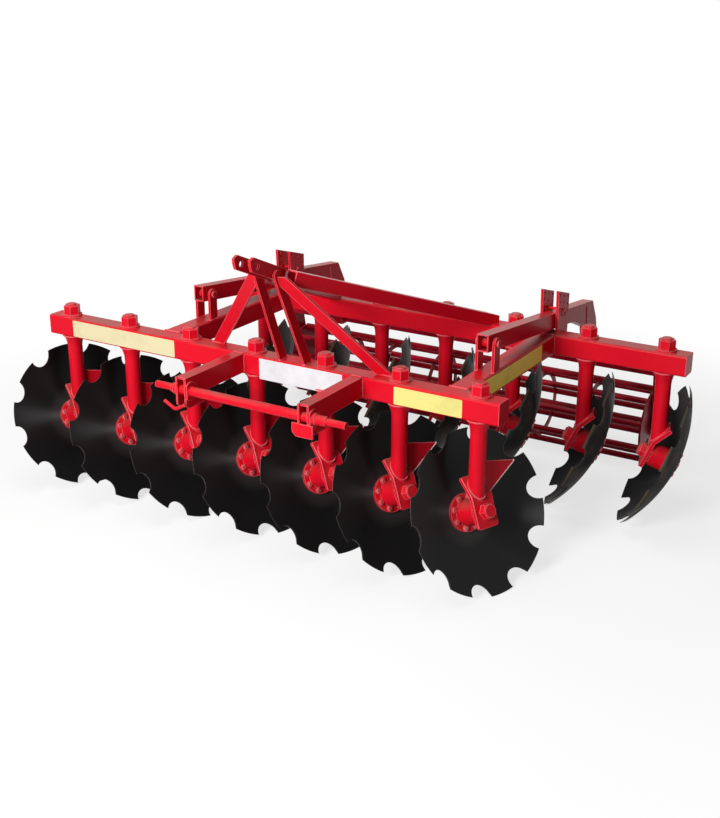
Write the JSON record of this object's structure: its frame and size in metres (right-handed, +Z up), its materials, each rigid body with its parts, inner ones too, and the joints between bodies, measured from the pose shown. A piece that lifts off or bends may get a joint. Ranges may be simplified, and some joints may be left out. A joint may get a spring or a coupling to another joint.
{
  "type": "disc harrow",
  "caption": "Tractor-mounted disc harrow: two rows of notched dished discs on posts, a tube frame with a three-point hitch and a trailing cage roller.",
  "frame": {"origin": "middle of the footprint, on the ground the discs stand on", "axes": "+X across the rows to the machine's side, +Y to the rear, from the hitch to the roller, +Z up"},
  "size_m": [2.7815, 2.1666, 1.2781],
  "materials": {
    "red_paint": "gloss",
    "disc_steel": "gloss"
  },
  "bodies": {
    "frame": {"arm_ears": "red_paint", "arm_pins": "red_paint", "backstays": "red_paint", "depth_pins": "red_paint", "depth_plates": "red_paint", "front_beam": "red_paint", "front_posts": "red_paint", "hitch_brackets": "red_paint", "hitch_cross_bar": "red_paint", "hitch_lock_pin": "red_paint", "mast_head": "red_paint", "mast_legs": "red_paint", "rear_beam": "red_paint", "rear_posts": "red_paint", "side_rails": "red_paint"},
    "roller_frame": {"roller_arms": "red_paint", "roller_cross_tube": "red_paint", "roller_end_plates": "red_paint"},
    "roller": {"roller_rings": "red_paint", "roller_shaft": "red_paint", "roller_slats": "red_paint"},
    "disc_unit_front_1": {"disc_front_1": "disc_steel", "hub_front_1": "red_paint"},
    "disc_unit_front_2": {"disc_front_2": "disc_steel", "hub_front_2": "red_paint"},
    "disc_unit_front_3": {"disc_front_3": "disc_steel", "hub_front_3": "red_paint"},
    "disc_unit_front_4": {"disc_front_4": "disc_steel", "hub_front_4": "red_paint"},
    "disc_unit_front_5": {"disc_front_5": "disc_steel", "hub_front_5": "red_paint"},
    "disc_unit_front_6": {"disc_front_6": "disc_steel", "hub_front_6": "red_paint"},
    "disc_unit_front_7": {"disc_front_7": "disc_steel", "hub_front_7": "red_paint"},
    "disc_unit_rear_1": {"disc_rear_1": "disc_steel", "hub_rear_1": "red_paint"},
    "disc_unit_rear_2": {"disc_rear_2": "disc_steel", "hub_rear_2": "red_paint"},
    "disc_unit_rear_3": {"disc_rear_3": "disc_steel", "hub_rear_3": "red_paint"},
    "disc_unit_rear_4": {"disc_rear_4": "disc_steel", "hub_rear_4": "red_paint"},
    "disc_unit_rear_5": {"disc_rear_5": "disc_steel", "hub_rear_5": "red_paint"},
    "disc_unit_rear_6": {"disc_rear_6": "disc_steel", "hub_rear_6": "red_paint"},
    "disc_unit_rear_7": {"disc_rear_7": "disc_steel", "hub_rear_7": "red_paint"}
  },
  "joints": [
    {"name": "disc_turn_front_1", "type": "hinge", "parent": "frame", "child": "disc_unit_front_1", "pos_m": [-1.218, -0.655, 0.30455], "axis": [0.8535, -0.3448, 0.3907], "continuous": true},
    {"name": "disc_turn_front_2", "type": "hinge", "parent": "frame", "child": "disc_unit_front_2", "pos_m": [-0.875, -0.655, 0.30455], "axis": [0.8535, -0.3448, 0.3907], "continuous": true},
    {"name": "disc_turn_front_3", "type": "hinge", "parent": "frame", "child": "disc_unit_front_3", "pos_m": [-0.532, -0.655, 0.30455], "axis": [0.8535, -0.3448, 0.3907], "continuous": true},
    {"name": "disc_turn_front_4", "type": "hinge", "parent": "frame", "child": "disc_unit_front_4", "pos_m": [-0.189, -0.655, 0.30455], "axis": [0.8535, -0.3448, 0.3907], "continuous": true},
    {"name": "disc_turn_front_5", "type": "hinge", "parent": "frame", "child": "disc_unit_front_5", "pos_m": [0.154, -0.655, 0.30455], "axis": [0.8535, -0.3448, 0.3907], "continuous": true},
    {"name": "disc_turn_front_6", "type": "hinge", "parent": "frame", "child": "disc_unit_front_6", "pos_m": [0.497, -0.655, 0.30455], "axis": [0.8535, -0.3448, 0.3907], "continuous": true},
    {"name": "disc_turn_front_7", "type": "hinge", "parent": "frame", "child": "disc_unit_front_7", "pos_m": [0.84, -0.655, 0.30455], "axis": [0.8535, -0.3448, 0.3907], "continuous": true},
    {"name": "disc_turn_rear_1", "type": "hinge", "parent": "frame", "child": "disc_unit_rear_1", "pos_m": [-0.84, 0.255, 0.30455], "axis": [-0.8774, -0.2783, 0.3907], "continuous": true},
    {"name": "disc_turn_rear_2", "type": "hinge", "parent": "frame", "child": "disc_unit_rear_2", "pos_m": [-0.497, 0.255, 0.30455], "axis": [-0.8774, -0.2783, 0.3907], "continuous": true},
    {"name": "disc_turn_rear_3", "type": "hinge", "parent": "frame", "child": "disc_unit_rear_3", "pos_m": [-0.154, 0.255, 0.30455], "axis": [-0.8774, -0.2783, 0.3907], "continuous": true},
    {"name": "disc_turn_rear_4", "type": "hinge", "parent": "frame", "child": "disc_unit_rear_4", "pos_m": [0.189, 0.255, 0.30455], "axis": [-0.8774, -0.2783, 0.3907], "continuous": true},
    {"name": "disc_turn_rear_5", "type": "hinge", "parent": "frame", "child": "disc_unit_rear_5", "pos_m": [0.532, 0.255, 0.30455], "axis": [-0.8774, -0.2783, 0.3907], "continuous": true},
    {"name": "disc_turn_rear_6", "type": "hinge", "parent": "frame", "child": "disc_unit_rear_6", "pos_m": [0.875, 0.255, 0.30455], "axis": [-0.8774, -0.2783, 0.3907], "continuous": true},
    {"name": "disc_turn_rear_7", "type": "hinge", "parent": "frame", "child": "disc_unit_rear_7", "pos_m": [1.218, 0.255, 0.30455], "axis": [-0.8774, -0.2783, 0.3907], "continuous": true},
    {"name": "roller_lift", "type": "hinge", "parent": "frame", "child": "roller_frame", "pos_m": [0, -0.367, 0.89], "axis": [1, 0, 0], "range_deg": [-0.45, 0.1]},
    {"name": "roller_turn", "type": "hinge", "parent": "roller_frame", "child": "roller", "pos_m": [0, 0.883, 0.19], "axis": [1, 0, 0], "continuous": true}
  ]
}
